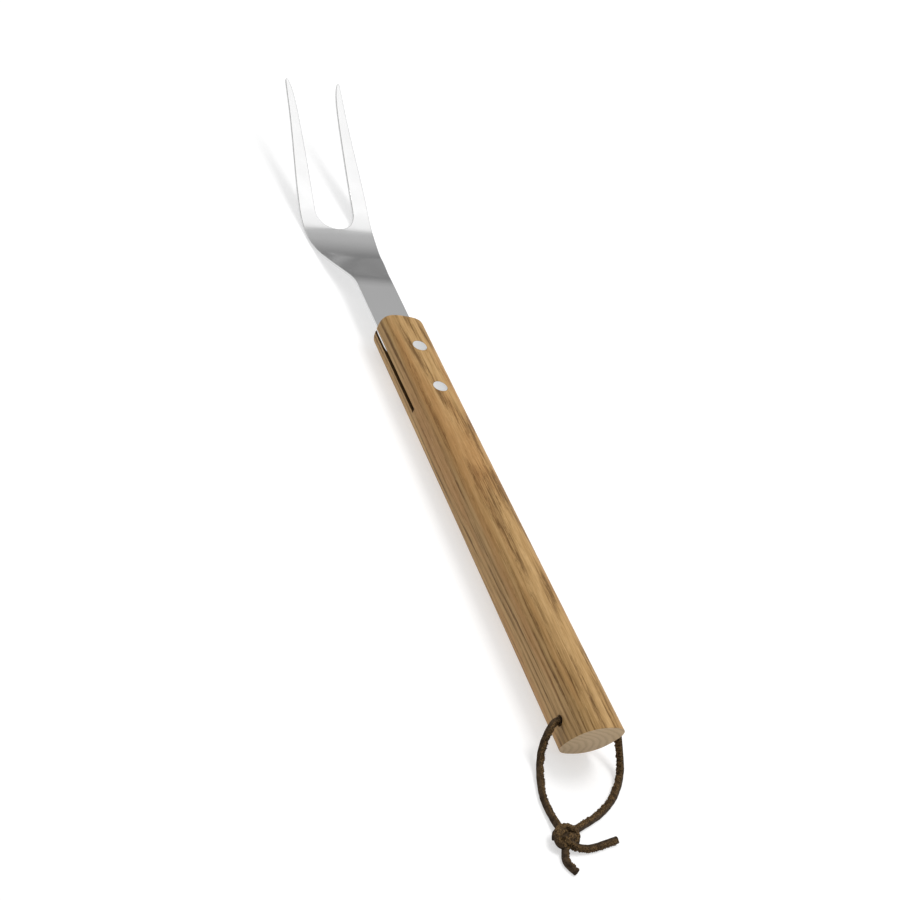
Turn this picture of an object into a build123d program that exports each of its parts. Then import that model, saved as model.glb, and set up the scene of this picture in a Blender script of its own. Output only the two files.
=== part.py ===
"""Two-tine roasting fork: a cranked sheet-steel fork riveted into a slotted oak handle, with a leather hanging loop.

The parts are drawn in the handle's own frame, where the handle's axis is the Y axis, its butt is at Y = 0,
the tines point along +Y and +Z is up, and are then laid down on the plane that the fork rests on.
Millimetres throughout.
"""

import math
import os

from build123d import *

# --- handle ------------------------------------------------------------------
HANDLE_LENGTH = 260.8
BUTT_WIDTH, BUTT_HEIGHT = 21.4, 31.8
FRONT_WIDTH, FRONT_HEIGHT = 22.0, 19.6
BUTT_POWER, FRONT_POWER = 2.45, 3.2  # 2 is an elliptical section, larger is squarer
SECTION_POINTS = 24
BUTT_SLANT = 26.0  # degrees, the butt's top edge overhangs its lower edge
FRONT_SKEW = 7.0  # degrees out of square, the left side reaches further forward
FRONT_ROUNDING = 2.3

# --- sheet-steel fork --------------------------------------------------------
SHEET = 1.5
SHEET_MID = -0.25  # height of the sheet's middle at the neck, over the handle's axis
TANG_END = 204.2
TANG_WIDTH, SHOULDER_WIDTH, NECK_WIDTH = 13.5, 21.2, 19.4
TANG_TAPER = (234.0, 249.0)  # where the tang widens to the shoulders that fill the slot's mouth
SHOULDER_END = (258.0, 264.0)  # where the shoulders draw in to the neck
CRANK_START = 293.0
CRANK_RADIUS, CRANK_ANGLE, CRANK_RUN = 33.25, 15.3, 22.7
RISE_RADIUS, RISE_ANGLE = 52.0, 22.7
TIP_Y = 425.8
TIP_X = 13.9
TIP_RADIUS = 0.9
GAP_WIDTH = 20.4
CROTCH_Y = 347.0
SHEET_EDGE = 0.3

# --- slot, rivets and lanyard hole ------------------------------------------
SLOT_END = 203.8
SLOT_HEIGHT = 2.2  # the saw cut is wider than the sheet, which sits against its upper face
RIVET_Y = (237.5, 208.2)
RIVET_HEAD, RIVET_HEAD_DEPTH = 6.8, 2.2
RIVET_SEAT_GAP = 0.12
BARREL, BARREL_BORE = 4.2, 2.8
HOLE_Y, HOLE = 11.3, 5.0

# --- leather thong, as it lies behind the handle on the resting plane ---------
THONG = 2.8
THONG_BEND = 0.45  # share of the shorter run that a bend takes up
KNOT_CENTRE = (-22.4, -249.4, 3.56)
KNOT_SIZE = (11.4, 10.8, 7.0)
LEFT_STRAND = [
    (-10.9, -198.0, 15.66),
    (-14.6, -198.0, 15.66),
    (-17.0, -201.5, 12.8),
    (-18.0, -205.0, 7.4),
    (-19.3, -210.2, 2.9),
    (-21.4, -218.4, 1.45),
    (-23.6, -228.0, 1.45),
    (-23.3, -238.4, 1.7),
    (-22.6, -248.0, 3.4),
]
RIGHT_STRAND = [
    (10.9, -198.0, 15.66),
    (15.4, -198.0, 15.66),
    (17.2, -202.4, 12.8),
    (17.3, -208.4, 7.4),
    (17.2, -214.4, 2.9),
    (13.6, -221.6, 1.45),
    (7.2, -229.6, 1.45),
    (-1.0, -236.4, 1.45),
    (-10.4, -241.6, 1.8),
    (-20.5, -247.8, 3.4),
]
RIGHT_TAIL = [
    (-21.5, -251.8, 3.2),
    (-15.8, -254.2, 1.8),
    (-9.8, -254.4, 1.45),
    (-3.8, -252.4, 1.45),
    (2.0, -249.9, 1.45),
]
LOWER_TAIL = [
    (-22.9, -251.5, 3.2),
    (-24.8, -256.6, 1.7),
    (-25.8, -261.4, 1.45),
    (-22.5, -265.8, 1.45),
]


def half_width(y):
    """Half the handle's width at a station along it."""
    return (BUTT_WIDTH + (FRONT_WIDTH - BUTT_WIDTH) * y / HANDLE_LENGTH) / 2


def half_height(y):
    """Half the handle's height at a station along it."""
    return (BUTT_HEIGHT + (FRONT_HEIGHT - BUTT_HEIGHT) * y / HANDLE_LENGTH) / 2


def section_power(y):
    """How square the handle's section is at a station along it."""
    return BUTT_POWER + (FRONT_POWER - BUTT_POWER) * y / HANDLE_LENGTH


def signed_power(value, power):
    """A power that keeps the sign of its base."""
    return math.copysign(abs(value) ** power, value)


def section(y):
    """The handle's rounded section at a station, as a face across the axis."""
    points = []
    for i in range(SECTION_POINTS):
        turn = 2 * math.pi * i / SECTION_POINTS
        x = half_width(y) * signed_power(math.cos(turn), 2 / section_power(y))
        z = half_height(y) * signed_power(math.sin(turn), 2 / section_power(y))
        points.append((x, y, z))
    return make_face(Spline(*points, periodic=True))


def handle_blank():
    """The tapering handle before any hole or slot, with its slanted butt and its rounded, slightly skewed front."""
    overhang = half_height(0) * math.tan(math.radians(BUTT_SLANT))
    reach = half_width(HANDLE_LENGTH) * math.tan(math.radians(FRONT_SKEW))
    bar = loft([section(-1.5 * overhang), section(HANDLE_LENGTH + 2 * reach)], ruled=True)
    butt_cut = Plane(origin=(0, 0, 0), x_dir=(1, 0, 0), z_dir=butt_normal())
    front_cut = Plane(origin=(0, HANDLE_LENGTH, 0), x_dir=(0, 0, 1), z_dir=front_normal())
    for cut in (butt_cut, front_cut):
        bar = split(bar, bisect_by=cut, keep=Keep.BOTTOM)
    front = bar.faces().sort_by(Axis.Y)[-1]
    return fillet(front.edges(), FRONT_ROUNDING)


def butt_normal():
    """Outward normal of the slanted butt, in the handle's frame."""
    slant = math.radians(BUTT_SLANT)
    return (0, -math.cos(slant), -math.sin(slant))


def front_normal():
    """Outward normal of the handle's front end, in the handle's frame."""
    skew = math.radians(FRONT_SKEW)
    return (math.sin(skew), math.cos(skew), 0)


def drilled(y, diameter, low, high):
    """A round rod along Z at a station of the handle, between two heights."""
    return Pos(0, y, low) * Cylinder(diameter / 2, high - low, align=(Align.CENTER, Align.CENTER, Align.MIN))


def make_handle(blank):
    """The oak handle: slotted for the tang, bored for the rivets and cross-drilled for the thong."""
    slot = Pos(0, SLOT_END, SHEET_MID + SHEET / 2) * Box(
        2 * FRONT_WIDTH, HANDLE_LENGTH, SLOT_HEIGHT, align=(Align.CENTER, Align.MIN, Align.MAX)
    )
    handle = blank - slot
    for y in RIVET_Y:
        height = 2 * half_height(y)
        seat = RIVET_HEAD + 2 * RIVET_SEAT_GAP
        handle -= drilled(y, BARREL, -height, height)
        handle -= drilled(y, seat, half_height(y) - RIVET_HEAD_DEPTH, height)
        handle -= drilled(y, seat, -height, RIVET_HEAD_DEPTH - half_height(y))
    return handle - Pos(0, HOLE_Y, 0) * Rot(Y=90) * Cylinder(HOLE / 2, 2 * BUTT_WIDTH)


def side_line(offset):
    """The sheet's side view at an offset above its middle, from the tang's end to beyond the tips."""
    neck = Line((TANG_END - 1, offset), (CRANK_START, offset))
    crank_bend = JernArc(neck @ 1, neck % 1, CRANK_RADIUS + offset, -CRANK_ANGLE)
    crank = PolarLine(crank_bend @ 1, CRANK_RUN, direction=crank_bend % 1)
    rise_bend = JernArc(crank @ 1, crank % 1, RISE_RADIUS - offset, CRANK_ANGLE + RISE_ANGLE)
    tines = PolarLine(rise_bend @ 1, HANDLE_LENGTH / 2, direction=rise_bend % 1)
    return [neck, crank_bend, crank, rise_bend, tines]


def side_band():
    """The bent sheet as wide as any part of the fork, before its outline is cut."""
    top, bottom = side_line(SHEET / 2), side_line(-SHEET / 2)
    ends = [Line(top[0] @ 0, bottom[0] @ 0), Line(top[-1] @ 1, bottom[-1] @ 1)]
    profile = make_face([*top, *bottom, *ends])
    across = Plane(origin=(0, 0, SHEET_MID), x_dir=(0, 1, 0), z_dir=(1, 0, 0))
    return extrude(across * profile, amount=HANDLE_LENGTH / 8, both=True)


def half_outline():
    """Right half of the fork's outline seen from above, from the tang's end to the crotch."""
    tang, shoulder, neck, gap = TANG_WIDTH / 2, SHOULDER_WIDTH / 2, NECK_WIDTH / 2, GAP_WIDTH / 2
    end = Polyline((0, TANG_END), (tang - 2.5, TANG_END), (tang, TANG_END + 2.5), (tang, TANG_TAPER[0]))
    taper = Spline(end @ 1, (shoulder, TANG_TAPER[1]), tangents=[(0, 1), (0, 1)])
    mouth = Line(taper @ 1, (shoulder, SHOULDER_END[0]))
    draw_in = Spline(mouth @ 1, (neck, SHOULDER_END[1]), tangents=[(0, 1), (0, 1)])
    side = Line(draw_in @ 1, (neck, CRANK_START))
    flare = Spline(side @ 1, (11.4, 305.5), (14.3, 317.0), (17.2, 332.0), (18.5, 352.0), tangents=[(0, 1), (0, 1)])
    outer = Spline(flare @ 1, (16.8, 386.0), (15.1, 417.0), tangents=[(0, 1), (-0.02, 1)])
    point_outer = (TIP_X + TIP_RADIUS, TIP_Y - 1.5 * TIP_RADIUS)
    point_inner = (TIP_X - TIP_RADIUS, TIP_Y - 1.5 * TIP_RADIUS)
    shank = Line(outer @ 1, point_outer)
    point = Spline(point_outer, (TIP_X, TIP_Y), point_inner, tangents=[shank % 1, (-0.35, -1)])
    crotch_side = (gap, CROTCH_Y + gap)
    inner = Spline(
        point_inner, (11.3, 415.0), (10.6, 400.0), (gap + 0.05, 378.0), crotch_side, tangents=[(-0.35, -1), (0, -1)]
    )
    crotch = RadiusArc(crotch_side, (0, CROTCH_Y), gap)
    return [end, taper, mouth, draw_in, side, flare, outer, shank, point, inner, crotch]


def make_fork_blade():
    """The cranked two-tine fork with its tang, stamped from one sheet, with softened edges."""
    half = half_outline()
    outline = make_face([*half, *(mirror(edge, about=Plane.YZ) for edge in half)])
    blade = side_band() & extrude(outline, amount=BUTT_HEIGHT * 3, both=True)
    for y in RIVET_Y:
        blade -= drilled(y, BARREL, -BUTT_HEIGHT, BUTT_HEIGHT)
    return blade


def make_rivet(blank, y):
    """One cutlery rivet: a hollow barrel from above and a solid pin from below, ground flush with the wood."""
    height = 2 * half_height(y)
    seat_top = half_height(y) - RIVET_HEAD_DEPTH
    head = drilled(y, RIVET_HEAD, seat_top, height) & blank
    barrel = head + drilled(y, BARREL, -seat_top, seat_top)
    barrel -= drilled(y, BARREL_BORE, -seat_top, seat_top - 1)
    foot = drilled(y, RIVET_HEAD, -height, -seat_top) & blank
    pin = foot + drilled(y, BARREL_BORE, -seat_top, seat_top - 2.5)
    return barrel, pin


def lay_down(shapes):
    """Tip the fork forward until butt and crank both rest on Z = 0, with the origin under the middle of its box."""
    butt_y = half_height(0) * math.sin(math.radians(BUTT_SLANT))
    butt_low = half_height(butt_y)
    crank, rise = math.radians(CRANK_ANGLE), RISE_RADIUS + CRANK_RADIUS
    centre_y = CRANK_START + rise * math.sin(crank) + CRANK_RUN * math.cos(crank)
    centre_z = SHEET_MID - CRANK_RADIUS - CRANK_RUN * math.sin(crank) + rise * math.cos(crank)
    along, above = centre_y - butt_y, centre_z + butt_low
    tilt = math.acos((RISE_RADIUS + SHEET / 2) / math.hypot(along, above)) - math.atan2(along, above)
    tipped = Compound(children=[Rot(X=-math.degrees(tilt)) * shape for shape in shapes.values()])
    box = tipped.bounding_box()
    rest = Pos(0, -box.center().Y, -box.min.Z) * Rot(X=-math.degrees(tilt))
    print("tilt", round(math.degrees(tilt), 4), "origin at handle Y, Z", box.center().Y, box.min.Z)
    return {name: rest * shape for name, shape in shapes.items()}


def bend_radii(points, name):
    """The largest bend that each corner of a thong's route has room for."""
    radii = []
    for before, corner, after in zip(points, points[1:], points[2:]):
        run_in, run_out = Vector(*corner) - Vector(*before), Vector(*after) - Vector(*corner)
        half_turn = math.radians(run_in.get_angle(run_out)) / 2
        radii.append(THONG_BEND * min(run_in.length, run_out.length) / math.tan(half_turn))
    print(name, "bend radii", [round(radius, 1) for radius in radii])
    return radii


def make_thong(points, name):
    """A round leather thong along a route of straight runs joined by tangent arcs."""
    path = FilletPolyline(*points, radius=bend_radii(points, name))
    tube = sweep(Plane(path @ 0, z_dir=path % 0) * Circle(THONG / 2), path=path)
    share = tube.volume / (math.pi * THONG**2 / 4 * path.length)
    print(name, "length", round(path.length, 1), "volume over section times length", round(share, 4))
    return tube


def make_lanyard(rest_hole):
    """The hanging loop: a thong through the handle, tied in an overhand knot with two short tails."""
    knot = Pos(*KNOT_CENTRE) * scale(Sphere(0.5), by=KNOT_SIZE)
    routes = {
        "lanyard_left_strand": LEFT_STRAND,
        "lanyard_right_strand": RIGHT_STRAND,
        "lanyard_right_tail": RIGHT_TAIL,
        "lanyard_lower_tail": LOWER_TAIL,
    }
    lanyard = {name: make_thong(points, name) - knot for name, points in routes.items()}
    lanyard["lanyard_knot"] = knot
    mouth = LEFT_STRAND[0][0]
    lanyard["lanyard_bore_run"] = rest_hole * Rot(Y=90) * Cylinder(THONG / 2, -2 * mouth)
    return lanyard


def make_fork():
    """Every solid of the fork, by node name."""
    blank = handle_blank()
    shapes = {"handle": make_handle(blank)}
    blade = make_fork_blade()
    outside_slot = [edge for edge in blade.edges() if edge.center().Y > HANDLE_LENGTH]
    shapes["fork_blade"] = fillet(outside_slot, SHEET_EDGE)
    for place, y in zip(("front", "rear"), RIVET_Y):
        barrel, pin = make_rivet(blank, y)
        shapes[f"{place}_rivet_barrel"] = barrel
        shapes[f"{place}_rivet_pin"] = pin
    shapes = lay_down(shapes)
    hole = Pos(0, LEFT_STRAND[0][1], LEFT_STRAND[0][2])
    return {**shapes, **make_lanyard(hole)}


if __name__ == "__main__":
    os.makedirs("parts", exist_ok=True)
    for node, shape in make_fork().items():
        export_step(shape, f"parts/{node}.step")
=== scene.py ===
"""Looks of the two-tine roasting fork: satin sheet steel, oiled oak and a rough leather hanging loop.

Metres throughout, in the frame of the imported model. Sizes written in millimetres are multiplied by MM.
"""

import math
import random

import bpy
import numpy as np
from mathutils import Matrix, Vector, noise


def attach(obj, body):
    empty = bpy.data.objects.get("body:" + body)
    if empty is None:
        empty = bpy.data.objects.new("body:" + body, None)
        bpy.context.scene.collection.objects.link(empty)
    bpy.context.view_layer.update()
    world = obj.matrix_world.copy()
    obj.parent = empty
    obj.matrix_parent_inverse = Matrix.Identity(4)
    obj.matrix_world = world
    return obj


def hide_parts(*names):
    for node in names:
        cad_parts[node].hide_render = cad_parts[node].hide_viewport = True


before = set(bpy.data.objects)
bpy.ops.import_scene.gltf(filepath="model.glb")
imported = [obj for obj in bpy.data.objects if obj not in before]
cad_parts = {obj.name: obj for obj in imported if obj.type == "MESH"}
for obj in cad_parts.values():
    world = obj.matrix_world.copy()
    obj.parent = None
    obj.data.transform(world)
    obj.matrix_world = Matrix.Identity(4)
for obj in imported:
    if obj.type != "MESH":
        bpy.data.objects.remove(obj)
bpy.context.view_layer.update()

MM = 0.001

# --- camera: looks down over the butt from the left, and leans so that the fork runs up to the left ---
CAMERA_AIM = Vector((-4.5, -35.8, 16.0)) * MM
CAMERA_DISTANCE = 1331.7 * MM
CAMERA_AZIMUTH, CAMERA_ELEVATION, CAMERA_ROLL = -34.680, 35.993, 25.200
SENSOR, LENS = 36.0, 120.0

# --- leather thong, in mm ---
THONG = 2.8  # across the flats
THONG_SQUARENESS = 4.0  # 2 is round, larger is squarer
THONG_SIDES = 28  # corners in a cross-section
THONG_STEP = 0.2  # from one cross-section to the next
FLOOR_CLEARANCE = 0.03  # that the leather keeps from the floor
# unevenness of the surface, as heights and features per mm
THONG_SWELL = (0.12, 0.40)
THONG_GRAIN = (0.04, 3.1)
THONG_NAP = ((0.55, 1.1), (0.42, 3.1))  # on the flesh side only
FLESH_FADE = (0.25, 0.6)  # how far the flesh side reaches round, and how softly it ends
CUT_END_SHRINK, CUT_END_RUN, CUT_END_BULGE = 0.16, 1.2, 0.12  # the run is in cross-sections
LEFT_STRAND = [
    (-10.9, -198.0, 15.66),
    (-12.8, -198.0, 15.66),
    (-16.0, -201.3, 12.8),
    (-18.0, -205.0, 7.4),
    (-19.3, -210.2, 2.9),
    (-21.4, -218.4, 1.45),
    (-23.6, -228.0, 1.45),
    (-23.3, -238.4, 1.7),
    (-22.6, -248.0, 3.4),
]
RIGHT_STRAND = [
    (10.9, -198.0, 15.66),
    (14.4, -198.0, 15.66),
    (16.4, -202.4, 12.8),
    (17.3, -208.4, 7.4),
    (17.2, -214.4, 2.9),
    (13.6, -221.6, 1.45),
    (7.2, -229.6, 1.45),
    (-1.0, -236.4, 1.45),
    (-10.4, -241.6, 1.8),
    (-20.5, -247.8, 3.4),
]
RIGHT_TAIL = [
    (-24.4, -251.0, 5.4),
    (-22.7, -253.4, 4.6),
    (-18.3, -254.3, 2.6),
    (-12.6, -254.0, 1.45),
    (-6.2, -252.2, 1.45),
    (2.0, -249.4, 1.45),
]
LOWER_TAIL = [
    (-22.9, -251.5, 3.2),
    (-24.8, -256.6, 1.7),
    (-25.8, -261.4, 1.45),
    (-22.5, -265.8, 1.45),
]
# points that the flesh sides of the tails turn towards
RIGHT_TAIL_FLESH = Vector((-10.0, -275.0, -2.0))
LOWER_TAIL_FLESH = Vector((-8.0, -255.0, 0.0))
LOOP_CENTRE = Vector((-3.0, -224.0, 9.0))  # both strands turn their flesh side to it
# each stretch's route, the point its flesh side turns to, its twist in radians per mm, and how many fibres
STRETCHES = {
    "left_strand": (LEFT_STRAND, LOOP_CENTRE, 0.012, 460),
    "right_strand": (RIGHT_STRAND, LOOP_CENTRE, -0.010, 560),
    "right_tail": (RIGHT_TAIL, RIGHT_TAIL_FLESH, 0.0, 120),
    "lower_tail": (LOWER_TAIL, LOWER_TAIL_FLESH, 0.0, 70),
}
KNOT_CENTRE = Vector((-22.4, -249.4, 3.56))
KNOT_CORE_RADII = Vector((3.4, 3.2, 1.9))
KNOT_CORE_ROUGHNESS = (0.25, 0.9)  # height, and features per mm
KNOT_RAGGEDNESS = 0.6  # of a loose thong's nap
# the knot's wraps, about its centre
KNOT_WRAPS = {
    "over": [
        (-4.4, -0.6, -1.2),
        (-4.5, 1.0, 0.4),
        (-3.4, 2.3, 1.4),
        (-1.2, 3.2, 2.1),
        (1.4, 3.1, 2.4),
        (3.6, 2.0, 1.9),
        (4.7, 0.2, 1.0),
        (4.2, -2.2, -0.5),
        (2.4, -3.4, -1.9),
    ],
    "across": [
        (0.4, 2.4, 0.6),
        (-1.6, 1.7, 2.0),
        (-3.6, 0.4, 2.3),
        (-5.0, -1.6, 1.0),
        (-4.3, -3.6, 0.0),
        (-2.2, -4.6, -0.4),
        (-0.2, -4.4, -1.6),
    ],
    "under": [
        (4.0, 2.0, -1.4),
        (3.4, 0.2, 0.6),
        (1.6, -1.2, 1.8),
        (-0.6, -2.6, 1.5),
        (-2.6, -3.4, 0.2),
    ],
}
KNOT_FLESH = KNOT_CENTRE + Vector((2.0, 6.0, 14.0))  # the wraps turn their flesh side to it

# loose fibres on the flesh side, in mm
FIRST_FIBRE_SEED = 11
FIBRES_PER_TUFT = 5
TUFT_SPREAD = 2.5  # in cross-sections
FIBRE_FREE_START, FIBRE_FREE_END = 8, 4  # cross-sections without fibres
FIBRE_SPREAD = 0.75  # radians round the thong
FIBRE_ROOT_DEPTH = 0.15
FIBRE_BASE, FIBRE_REACH = 0.25, 1.1  # each is as long as the base and a share of the reach
FIBRE_THICKNESS = (0.05, 0.11)
FIBRE_RINGS, FIBRE_SIDES = 4, 3
FIBRE_DROOP, FIBRE_LEAN, FIBRE_TAPER = 0.35, 0.7, 0.75  # shares of its length and thickness


# --- helpers ---
def link(obj):
    bpy.context.scene.collection.objects.link(obj)
    return obj


def route_line(points):
    """Points in mm along the NURBS spline that has these control points."""
    curve = bpy.data.curves.new("route", "CURVE")
    curve.dimensions = "3D"
    curve.resolution_u = 24
    spline = curve.splines.new("NURBS")
    spline.points.add(len(points) - 1)
    for control, place in zip(spline.points, points):
        control.co = (*place, 1.0)
    spline.order_u = 3
    spline.use_endpoint_u = True
    holder = link(bpy.data.objects.new("route", curve))
    mesh = bpy.data.meshes.new_from_object(holder)
    line = [v.co.copy() for v in mesh.vertices]
    bpy.data.objects.remove(holder)
    bpy.data.curves.remove(curve)
    bpy.data.meshes.remove(mesh)
    return line


def evenly(line, step):
    """The line cut into equal steps of about this length."""
    places = np.array(line)
    runs = np.linalg.norm(np.diff(places, axis=0), axis=1)
    along = np.concatenate([[0.0], np.cumsum(runs)])
    count = max(2, round(along[-1] / step) + 1)
    wanted = np.linspace(0.0, along[-1], count)
    columns = [np.interp(wanted, along, places[:, axis]) for axis in range(3)]
    return [Vector(p) for p in np.stack(columns, 1)]


def leather_piece(name, corners, faces):
    """A smooth piece of the lanyard from corners in mm, kept off the floor."""
    mesh = bpy.data.meshes.new(name)
    raised = [(x * MM, y * MM, max(z, FLOOR_CLEARANCE) * MM) for x, y, z in corners]
    mesh.from_pydata(raised, [], faces)
    mesh.validate()
    mesh.update()
    mesh.shade_smooth()
    obj = link(bpy.data.objects.new(name, mesh))
    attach(obj, "lanyard")
    return obj


# --- leather ---
def section_frames(line, rough_towards):
    """For each point of the line its tangent, the direction of the rough side, and the third axis."""
    frames = []
    last = len(line) - 1
    for i, place in enumerate(line):
        tangent = (line[min(i + 1, last)] - line[max(i - 1, 0)]).normalized()
        rough = rough_towards - place
        rough = (rough - tangent * rough.dot(tangent)).normalized()
        frames.append((tangent, rough, tangent.cross(rough)))
    return frames


def unevenness(place, height, rate):
    return height * noise.noise(place * rate)


def thong_surface(place, axes, angle, turn, size, ragged):
    """One point on the thong's surface, and how much it belongs to the rough flesh side."""
    _, rough, side = axes
    n = THONG_SQUARENESS
    flat = (abs(math.cos(angle - turn)) ** n + abs(math.sin(angle - turn)) ** n) ** (-1.0 / n)
    outward = rough * math.cos(angle) + side * math.sin(angle)
    skin = place + outward * (size * flat)
    reach, fade = FLESH_FADE
    flesh = max(0.0, min(1.0, (math.cos(angle) + reach) / fade))
    nap = ragged * flesh * sum(unevenness(skin, *layer) for layer in THONG_NAP)
    lift = unevenness(skin, *THONG_SWELL) + nap + unevenness(skin, *THONG_GRAIN)
    return skin + outward * lift, flesh


def make_thong(name, line, rough_towards, ragged=1.0, twist=0.0):
    """A leather thong along a line: squarish, smooth on its grain side and ragged on its flesh side."""
    line = evenly(line, THONG_STEP)
    frames = section_frames(line, rough_towards)
    last = len(line) - 1
    sides = THONG_SIDES
    corners, faces, flesh = [], [], []
    for i, place in enumerate(line):
        turn = twist * i * THONG_STEP
        size = THONG / 2 * (1.0 - CUT_END_SHRINK * math.exp(-min(i, last - i) / CUT_END_RUN))
        for k in range(sides):
            angle = 2 * math.pi * k / sides
            corner, share = thong_surface(place, frames[i], angle, turn, size, ragged)
            corners.append(corner)
            flesh.append(share)
    for i in range(last):
        for k in range(sides):
            a, b = i * sides + k, i * sides + (k + 1) % sides
            faces.append((a, b, b + sides, a + sides))
    for end, order in ((0, -1), (last, 1)):
        tangent = frames[end][0]
        centre = len(corners)
        corners.append(line[end] + tangent * (CUT_END_BULGE * order))
        flesh.append(1.0)
        for k in range(sides):
            a, b = end * sides + k, end * sides + (k + 1) % sides
            faces.append((a, b, centre) if order > 0 else (b, a, centre))
    obj = leather_piece(name, corners, faces)
    attribute = obj.data.attributes.new("flesh", "FLOAT", "POINT")
    attribute.data.foreach_set("value", np.array(flesh, np.float32))
    return obj


def add_fibre(corners, faces, root, axes, outward, lean, length, thick):
    """Adds a thin spike that stands out from its root and bends over towards its lean."""
    tangent, _, side = axes
    sides = FIBRE_SIDES
    first = len(corners)
    for step in range(FIBRE_RINGS):
        share = step / FIBRE_RINGS
        rise = length * share * (1 - FIBRE_DROOP * share)
        centre = root + outward * rise + lean * (length * FIBRE_LEAN * share**2)
        width = thick * (1 - FIBRE_TAPER * share)
        for k in range(sides):
            a = 2 * math.pi * k / sides
            corners.append(centre + tangent * (width * math.cos(a)) + side * (width * math.sin(a)))
    tip = len(corners)
    corners.append(root + outward * (length * (1 - FIBRE_DROOP)) + lean * (length * FIBRE_LEAN))
    for ring in range(first, tip - sides, sides):
        for k in range(sides):
            a, b = ring + k, ring + (k + 1) % sides
            faces.append((a, b, b + sides, a + sides))
    for k in range(sides):
        faces.append((tip - sides + k, tip - sides + (k + 1) % sides, tip))
    faces.append((first + 2, first + 1, first))


def make_fibres(name, line, rough_towards, count, seed):
    """Loose fibres in tufts on the flesh side of a thong."""
    rng = random.Random(seed)
    line = evenly(line, THONG_STEP)
    frames = section_frames(line, rough_towards)
    low, high = FIBRE_FREE_START, len(line) - FIBRE_FREE_END
    tufts = [rng.uniform(low, high) for _ in range(count // FIBRES_PER_TUFT)]
    corners, faces = [], []
    for _ in range(count):
        place = round(rng.choice(tufts) + rng.gauss(0.0, TUFT_SPREAD))
        i = min(high - 1, max(low, place))
        tangent, rough, side = frames[i]
        angle = rng.gauss(0.0, FIBRE_SPREAD)
        outward = rough * math.cos(angle) + side * math.sin(angle)
        root = line[i] + outward * (THONG / 2 - FIBRE_ROOT_DEPTH)
        lean = tangent * rng.uniform(-1.0, 1.0) + side * rng.uniform(-0.4, 0.4)
        length = rng.uniform(0.35, 1.0) ** 2 * FIBRE_REACH + FIBRE_BASE
        thick = rng.uniform(*FIBRE_THICKNESS)
        add_fibre(corners, faces, root, frames[i], outward, lean, length, thick)
    return leather_piece(name, corners, faces)


def make_knot_core():
    """The hidden turns inside the knot: a rough egg that fills the gaps between the wraps."""
    rings, sides = 16, 24
    height = Vector((0.0, 0.0, KNOT_CORE_RADII.z))
    corners, faces = [], []
    for i in range(1, rings):
        polar = math.pi * i / rings
        for k in range(sides):
            turn = 2 * math.pi * k / sides
            level = Vector((math.cos(turn), math.sin(turn), 0.0))
            way = level * math.sin(polar) + Vector((0.0, 0.0, math.cos(polar)))
            place = KNOT_CENTRE + Vector(a * b for a, b in zip(way, KNOT_CORE_RADII))
            corners.append(place + way * unevenness(place, *KNOT_CORE_ROUGHNESS))
    top = len(corners)
    corners += [KNOT_CENTRE + height, KNOT_CENTRE - height]
    for i in range(rings - 2):
        for k in range(sides):
            a, b = i * sides + k, i * sides + (k + 1) % sides
            faces.append((a, a + sides, b + sides, b))
    last = (rings - 2) * sides
    for k in range(sides):
        faces.append((k, (k + 1) % sides, top))
        faces.append((last + (k + 1) % sides, last + k, top + 1))
    return leather_piece("knot_core", corners, faces)


def make_knot():
    pieces = [make_knot_core()]
    for name, points in KNOT_WRAPS.items():
        line = route_line([KNOT_CENTRE + Vector(p) for p in points])
        pieces.append(make_thong("knot_wrap_" + name, line, KNOT_FLESH, ragged=KNOT_RAGGEDNESS))
    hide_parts("lanyard_knot")
    return pieces


def make_lanyard():
    lines, pieces, fibres = {}, {}, {}
    for name, (route, flesh, twist, _) in STRETCHES.items():
        lines[name] = route_line(route)
        pieces[name] = make_thong(name, lines[name], flesh, twist=twist)
        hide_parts("lanyard_" + name)
    knot = make_knot()
    for seed, (name, (_, flesh, _, count)) in enumerate(STRETCHES.items(), FIRST_FIBRE_SEED):
        fibres[name] = make_fibres(name + "_fibres", lines[name], flesh, count, seed)
    return [*pieces.values(), *knot, *fibres.values()]


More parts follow.
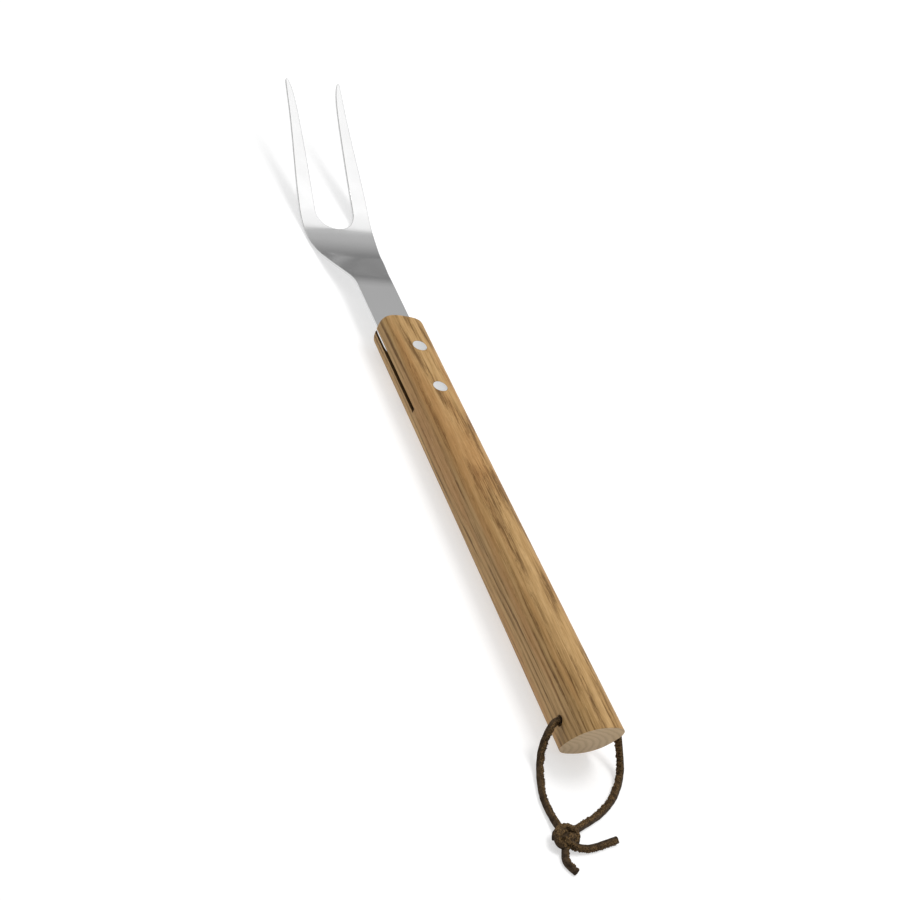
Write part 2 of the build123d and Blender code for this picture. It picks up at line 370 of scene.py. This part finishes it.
# --- shaders ---
class Shader:
    """Builds the nodes of one material or of the world. An input is a constant or another node's output."""

    def __init__(self, tree):
        self.tree = tree

    def node(self, kind, inputs=(), **settings):
        node = self.tree.nodes.new("ShaderNode" + kind)
        for key, value in settings.items():
            setattr(node, key, value)
        for key, value in dict(inputs).items():
            self.put(node.inputs[key], value)
        return node

    def put(self, socket, value):
        if isinstance(value, bpy.types.NodeSocket):
            self.tree.links.new(value, socket)
        else:
            socket.default_value = value

    def math(self, operation, *values):
        return self.node("Math", enumerate(values), operation=operation).outputs[0]

    def vector(self, operation, *values):
        return self.node("VectorMath", enumerate(values), operation=operation).outputs[0]

    def length(self, value):
        return self.node("VectorMath", {0: value}, operation="LENGTH").outputs["Value"]

    def dot(self, value, direction):
        return self.node("VectorMath", {0: value, 1: direction}, operation="DOT_PRODUCT").outputs["Value"]

    def place(self):
        """The point on the surface, in mm."""
        return self.vector("MULTIPLY", self.node("TexCoord").outputs["Object"], (1 / MM, 1 / MM, 1 / MM))

    def grain(self, place, across, along, detail=2.0, rough=0.55, output="Fac"):
        """Noise with this many features per mm across the handle's axis and along it."""
        stretched = self.vector("MULTIPLY", place, (across, along, across))
        inputs = {"Vector": stretched, "Scale": 1.0, "Detail": detail, "Roughness": rough}
        return self.node("TexNoise", inputs).outputs[output]

    def wander(self, place, across, along, reach):
        """A sideways push of up to about this many mm that varies slowly."""
        colour = self.grain(place, across, along, 2.0, 0.5, "Color")
        centred = self.vector("SUBTRACT", colour, (0.5, 0.5, 0.5))
        return self.vector("MULTIPLY", centred, (reach, 0.0, reach))

    def span(self, value, low, high, to_low=0.0, to_high=1.0, smooth=True):
        """The value carried from low..high to to_low..to_high, held at both ends."""
        inputs = {0: value, 1: low, 2: high, 3: to_low, 4: to_high}
        kind = "SMOOTHSTEP" if smooth else "LINEAR"
        return self.node("MapRange", inputs, interpolation_type=kind).outputs[0]

    def curve(self, value, stops):
        """A number read off a line through (position, level) stops."""
        node = self.node("ValToRGB", {"Fac": value})
        elements = node.color_ramp.elements
        while len(elements) < len(stops):
            elements.new(0.5)
        for element, (position, level) in zip(elements, stops):
            element.position = position
            element.color = (level, level, level, 1.0)
        return node.outputs["Color"]

    def mix(self, share, first, second, blend="MIX"):
        node = self.node("Mix", data_type="RGBA", blend_type=blend)
        for index, value in ((0, share), (6, first), (7, second)):
            self.put(node.inputs[index], (*value, 1.0) if isinstance(value, tuple) else value)
        return node.outputs[2]

    def bump(self, height, distance, strength):
        inputs = {"Height": height, "Distance": distance, "Strength": strength}
        return self.node("Bump", inputs).outputs["Normal"]


class Surface(Shader):
    """A material with one Principled shader."""

    def __init__(self, name):
        self.material = bpy.data.materials.new(name)
        self.material.use_nodes = True
        super().__init__(self.material.node_tree)

    def finish(self, **values):
        """Sets the shader's sockets, named with _ for a space."""
        for key, value in values.items():
            self.put(self.tree.nodes["Principled BSDF"].inputs[key.replace("_", " ")], value)
        return self.material


# --- oak: growth rings round a pith that crosses the handle at a slight angle, as the board was sawn ---
OAK_PALE = (0.560, 0.355, 0.155)
OAK_MID = (0.450, 0.270, 0.105)
OAK_WARM = (0.470, 0.232, 0.078)
OAK_DARK = (0.190, 0.100, 0.032)
# the colour of the pores, and also of the painted shade on the slot's faces
OAK_PORE_AND_SLOT_SHADE = (0.100, 0.052, 0.016)
END_PALE = (0.520, 0.375, 0.215)
END_DARK = (0.390, 0.272, 0.150)
RING = 2.93  # mm between rings
# how dark a ring is from its start to its end, as (share of the ring, darkness)
RING_BAND = [(0.0, 0.30), (0.10, 0.95), (0.24, 1.0), (0.40, 0.50), (0.56, 0.08), (0.88, 0.0), (1.0, 0.30)]
# the pith's place in the handle's section: from this Y to that Y, it goes from this many mm to that many
PITH_RIGHT_REAR = (-189.0, -70.0, -15.0, -2.0)
PITH_RIGHT_FRONT = (-50.0, 51.0, 0.0, -13.0)
PITH_HEIGHT = (-209.0, 51.0, 1.0, -8.0)
# how the rings wander: features per mm across the handle and along it, and the reach in mm
RING_WANDER = ((0.035, 0.006, 3.6), (0.16, 0.020, 2.2), (0.75, 0.060, 0.9))
# noise in the wood: features per mm across the handle and along it, then detail and roughness
PATCHES = (0.22, 0.014)
BROAD_FIBRES = (0.42, 0.012, 3.0)
NARROW_FIBRES = (1.2, 0.028, 3.0)
FINE_FIBRES = (4.5, 0.16, 2.0, 0.6)
PORES = (3.0, 0.20, 2.0, 0.6)
FLECKS = (0.9, 0.30, 2.0, 0.6)
WARM_STREAKS = (0.09, 0.006, 2.0)
END_SPECKS = (3.0, 3.0, 3.0, 0.65)
BAND_SHARE, BROAD_SHARE, NARROW_SHARE = 0.62, 0.22, 0.34  # of the wood's darkness
FIBRE_SPAN = (0.32, 0.68)
FINE_LEVELS = [(0.28, 0.34), (0.72, 0.68)]
# the last share is how strongly painted shade darkens the slot's faces
FINE_SHARE, PORE_SHARE, SLOT_SHADE_SHARE = 0.34, 0.55, 0.85
END_FACING = (0.60, 0.80)  # how squarely a face looks along the handle where end grain starts and is full
# the slot's faces between these heights, ahead of SLOT_END_Y, get painted shade
SLOT_HEIGHTS = (10.5, 12.75)  # mm along the handle's own up, of the saw cut's faces
SLOT_END_Y = -6.0
HANDLE_TILT = math.radians(0.99)


def pith(s, place):
    """The pith's place in the handle's section at a station along it."""
    y = s.node("SeparateXYZ", {0: place}).outputs["Y"]
    rightwards = s.math("ADD", s.span(y, *PITH_RIGHT_REAR), s.span(y, *PITH_RIGHT_FRONT))
    height = s.span(y, *PITH_HEIGHT, smooth=False)
    return s.node("CombineXYZ", {"X": rightwards, "Z": height}).outputs[0]


def ring_number(s, place):
    """How many rings lie between the pith and here."""
    bent = s.vector("SUBTRACT", place, pith(s, place))
    for across, along, reach in RING_WANDER:
        bent = s.vector("ADD", bent, s.wander(place, across, along, reach))
    return s.math("DIVIDE", s.length(s.vector("MULTIPLY", bent, (1.0, 0.0, 1.0))), RING)


def painted_slot_shade(s, place):
    """1 on the faces of the slot, which are darkened with painted shade, and 0 elsewhere."""
    height = s.dot(place, (0.0, math.sin(HANDLE_TILT), math.cos(HANDLE_TILT)))
    above = s.math("GREATER_THAN", height, SLOT_HEIGHTS[0])
    below = s.math("LESS_THAN", height, SLOT_HEIGHTS[1])
    ahead = s.math("GREATER_THAN", s.node("SeparateXYZ", {0: place}).outputs["Y"], SLOT_END_Y)
    return s.math("MULTIPLY", s.math("MULTIPLY", above, below), ahead)


def oak_bands(s, place, rings, porous):
    """The rings' dark bands, some rings and some patches darker than others."""
    rank = s.node("TexWhiteNoise", {"W": s.math("FLOOR", rings)}, noise_dimensions="1D").outputs["Value"]
    patches = s.span(s.grain(place, *PATCHES), 0.32, 0.64, 0.50, 1.20)
    return s.math("MULTIPLY", s.math("MULTIPLY", porous, patches), s.span(rank, 0.0, 1.0, 0.60, 1.10))


def oak_shade(s, place, band):
    """The wood's darkness along the grain: the bands, broken up by two widths of fibres."""
    broad = s.span(s.grain(place, *BROAD_FIBRES), *FIBRE_SPAN)
    narrow = s.span(s.grain(place, *NARROW_FIBRES), *FIBRE_SPAN)
    broken = s.math("MULTIPLY", band, s.span(narrow, 0.0, 1.0, 0.55, 1.10))
    shade = s.math("ADD", s.math("MULTIPLY", broken, BAND_SHARE), s.math("MULTIPLY", broad, BROAD_SHARE))
    return s.math("ADD", shade, s.math("MULTIPLY", narrow, NARROW_SHARE))


def side_grain(s, place, shade, pores, fine):
    """The colour along the grain: pale to dark by its shade, with warm streaks, flecks and pores."""
    tone = s.mix(s.span(shade, 0.05, 0.40, smooth=False), OAK_PALE, OAK_MID)
    tone = s.mix(s.span(shade, 0.40, 0.95, smooth=False), tone, OAK_DARK)
    tone = s.mix(s.span(s.grain(place, *WARM_STREAKS), 0.48, 0.64, 0.0, 0.50), tone, OAK_WARM)
    tone = s.mix(s.span(s.grain(place, *FLECKS), 0.60, 0.72, 0.0, 0.30), tone, OAK_PALE)
    tone = s.mix(s.math("MULTIPLY", pores, PORE_SHARE), tone, OAK_PORE_AND_SLOT_SHADE)
    return s.mix(FINE_SHARE, tone, s.curve(fine, FINE_LEVELS), "OVERLAY")


def end_grain(s, place, porous):
    """The rings and open pores of the sawn ends."""
    speck = s.grain(place, *END_SPECKS)
    tone = s.mix(s.span(porous, 0.0, 1.0, 0.0, 0.62), END_PALE, END_DARK)
    tone = s.mix(s.span(speck, 0.50, 0.72, 0.0, 0.40), tone, END_DARK)
    return s.mix(s.span(speck, 0.30, 0.48, 0.30, 0.0), tone, OAK_PALE)


def oak():
    s = Surface("oiled_oak")
    place = s.place()
    rings = ring_number(s, place)
    porous = s.curve(s.math("FRACT", rings), RING_BAND)
    band = oak_bands(s, place, rings, porous)
    fine = s.grain(place, *FINE_FIBRES)
    in_bands = s.span(band, 0.0, 0.8, 0.12, 0.85)
    pores = s.math("MULTIPLY", s.span(s.grain(place, *PORES), 0.52, 0.66), in_bands)
    side = side_grain(s, place, oak_shade(s, place, band), pores, fine)
    facing = s.node("SeparateXYZ", {0: s.node("TexCoord").outputs["Normal"]}).outputs["Y"]
    at_end = s.span(s.math("ABSOLUTE", facing), *END_FACING)
    tone = s.mix(at_end, side, end_grain(s, place, porous))
    return s.finish(
        # painted shade: the slot's faces are darkened towards the pore colour
        Base_Color=s.mix(s.math("MULTIPLY", painted_slot_shade(s, place), SLOT_SHADE_SHARE), tone, OAK_PORE_AND_SLOT_SHADE),
        Roughness=s.span(pores, 0.0, 1.0, 0.55, 0.75),
        Normal=s.bump(s.math("SUBTRACT", s.math("MULTIPLY", fine, 0.5), pores), 0.06 * MM, 0.6),
        Specular_IOR_Level=0.18,
    )


# --- steel ---
# each steel's name, tone, roughness, and how many times longer than wide its grain is
BLADE_STEEL = ("satin_steel", (0.67, 0.67, 0.67), 0.14, 3.0)
RIVET_STEEL = ("rivet_steel", (0.93, 0.93, 0.93), 0.38, 1.0)
STEEL_GRAIN = 7.0  # features per mm
STEEL_DARKER = 0.95  # of the tone, in the grain's hollows
STEEL_CLOUDING = 0.015  # how much the roughness drifts
STEEL_GRAIN_ROUGHNESS = 0.04


def steel(name, tone, rough, streaks):
    """Satin stainless steel: a fine even grain, clouded a little."""
    s = Surface(name)
    place = s.place()
    grain = s.grain(place, STEEL_GRAIN, STEEL_GRAIN / streaks, 2.0, 0.6)
    cloud = s.grain(place, 0.10, 0.10, 2.0, 0.5)
    drift = s.span(cloud, 0.3, 0.7, rough - STEEL_CLOUDING, rough + STEEL_CLOUDING)
    darker = tuple(STEEL_DARKER * channel for channel in tone)
    return s.finish(
        Metallic=1.0,
        Base_Color=s.mix(s.span(grain, 0.35, 0.65), darker, tone),
        Roughness=s.math("ADD", drift, s.math("MULTIPLY", grain, STEEL_GRAIN_ROUGHNESS)),
        Normal=s.bump(grain, 0.004 * MM, 0.25),
    )


# --- the leather's material ---
SKIN_DARK, SKIN_LIGHT = (0.034, 0.0205, 0.0100), (0.078, 0.0500, 0.0270)
FLESH_DARK, FLESH_LIGHT = (0.036, 0.0205, 0.0080), (0.225, 0.137, 0.057)
# noise in the leather: features per mm across and along, then detail and roughness
BLOTCHES = (0.55, 0.55, 3.0, 0.6)
MOTTLING = (2.0, 2.0, 3.0, 0.68)
PEBBLING = (6.0, 6.0, 2.0, 0.6)


def leather():
    """Dark oiled leather: smooth and blotched on its grain side, tan and mottled on its flesh side."""
    s = Surface("oiled_leather")
    place = s.place()
    flesh = s.node("Attribute", attribute_name="flesh").outputs["Fac"]
    blotch = s.grain(place, *BLOTCHES)
    mottle = s.grain(place, *MOTTLING)
    pebble = s.grain(place, *PEBBLING)
    skin = s.mix(s.span(blotch, 0.35, 0.66), SKIN_DARK, SKIN_LIGHT)
    rough = s.mix(s.span(mottle, 0.40, 0.64), FLESH_DARK, FLESH_LIGHT)
    share = s.math("MULTIPLY", flesh, s.span(blotch, 0.34, 0.56, 0.40, 1.0))
    height = s.math("ADD", s.math("MULTIPLY", mottle, 0.6), s.math("MULTIPLY", pebble, 0.4))
    return s.finish(
        Base_Color=s.mix(share, skin, rough),
        Roughness=s.span(mottle, 0.3, 0.7, 0.68, 0.90),
        Normal=s.bump(height, 0.30 * MM, 0.7),
        Specular_IOR_Level=0.15,
    )


def paint(obj, material):
    if not obj.data.materials:
        obj.data.materials.append(material)
    for i in range(len(obj.data.materials)):
        obj.data.materials[i] = material


# --- studio: a white table that glows a little, a bright ceiling and a softbox overhead ---
FLOOR_REACH = 6.0
FLOOR_GLOW = 0.58
FLOOR_TONES = (0.51, 0.51, 0.51), (0.52, 0.52, 0.52)
# heights are sines of the elevation, and brightness is the sky's strength
CEILING_EDGE = (0.71, 0.765)
CEILING_FOCUS = (0.60, 0.46, 0.65)  # the ceiling is brightest this way
CEILING_FADE = (0.3, 0.9, 0.75, 1.37)  # from this cosine to that one, its brightness
FAR_WALL = (0.17, 0.59, 0.28, 0.62)  # from this height to that one, its brightness
FAR_WAY = (0.55, 0.83, 0.0)  # the far wall is this way
NEAR_SIDE_FADE = (-0.2, 0.5, 0.05, 1.0)  # from this cosine to that one, the share of the wall's brightness
SOFTBOX_PLACE = (0.42, -0.10, 1.55)
SOFTBOX_SIZE = 0.55
SOFTBOX_POWER = 11.0  # watts


def make_camera():
    azimuth, elevation, roll = (math.radians(a) for a in (CAMERA_AZIMUTH, CAMERA_ELEVATION, CAMERA_ROLL))
    level = Vector((math.cos(azimuth), math.sin(azimuth), 0.0))
    towards = Vector((math.sin(azimuth), -math.cos(azimuth), 0.0))
    back = towards * math.cos(elevation) + Vector((0.0, 0.0, math.sin(elevation)))
    right = level * math.cos(roll) + back.cross(level) * math.sin(roll)
    camera = link(bpy.data.objects.new("camera", bpy.data.cameras.new("camera")))
    turn = Matrix((right, back.cross(right), back)).transposed().to_4x4()
    camera.matrix_world = Matrix.Translation(CAMERA_AIM + back * CAMERA_DISTANCE) @ turn
    camera.data.sensor_width = SENSOR
    camera.data.lens = LENS
    camera.data.clip_start, camera.data.clip_end = 0.05, 50.0
    bpy.context.scene.camera = camera


def make_floor():
    mesh = bpy.data.meshes.new("floor")
    square = ((-1, -1), (1, -1), (1, 1), (-1, 1))
    corners = [(x * FLOOR_REACH, y * FLOOR_REACH, 0.0) for x, y in square]
    mesh.from_pydata(corners, [], [(0, 1, 2, 3)])
    floor = link(bpy.data.objects.new("floor", mesh))
    s = Surface("white_floor")
    cloud = s.span(s.grain(s.place(), 0.02, 0.02), 0.3, 0.7)
    white = s.finish(
        Base_Color=s.mix(cloud, *FLOOR_TONES),
        Emission_Color=(1.0, 1.0, 1.0, 1.0),
        Emission_Strength=FLOOR_GLOW,
        Roughness=1.0,
        Specular_IOR_Level=0.0,
    )
    paint(floor, white)


def make_sky():
    """A bright ceiling, a grey far wall that darkens downwards, and a dark near left side."""
    world = bpy.data.worlds.new("studio")
    world.use_nodes = True
    bpy.context.scene.world = world
    s = Shader(world.node_tree)
    way = s.node("TexCoord").outputs["Generated"]
    up = s.node("SeparateXYZ", {0: way}).outputs["Z"]
    brightness = s.span(s.dot(way, CEILING_FOCUS), *CEILING_FADE)
    ceiling = s.math("MULTIPLY", s.span(up, *CEILING_EDGE), brightness)
    wall = s.span(up, *FAR_WALL, smooth=False)
    side = s.span(s.dot(way, FAR_WAY), *NEAR_SIDE_FADE)
    sky = s.tree.nodes["Background"]
    sky.inputs["Color"].default_value = (1.0, 1.0, 1.0, 1.0)
    s.put(sky.inputs["Strength"], s.math("MAXIMUM", ceiling, s.math("MULTIPLY", wall, side)))


def make_softbox():
    light = bpy.data.lights.new("softbox", "AREA")
    light.size = SOFTBOX_SIZE
    light.energy = SOFTBOX_POWER
    softbox = link(bpy.data.objects.new("softbox", light))
    softbox.location = SOFTBOX_PLACE
    softbox.rotation_euler = Vector(SOFTBOX_PLACE).to_track_quat("Z", "Y").to_euler()


make_camera()
hide = leather()
for piece in make_lanyard():
    paint(piece, hide)
make_floor()
make_sky()
make_softbox()
bpy.context.scene.view_settings.view_transform = "Standard"

rivet_steel = steel(*RIVET_STEEL)
for node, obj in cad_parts.items():
    if node.startswith("lanyard"):
        paint(obj, hide)
    elif "rivet" in node:
        paint(obj, rivet_steel)
paint(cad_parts["handle"], oak())
paint(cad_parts["fork_blade"], steel(*BLADE_STEEL))
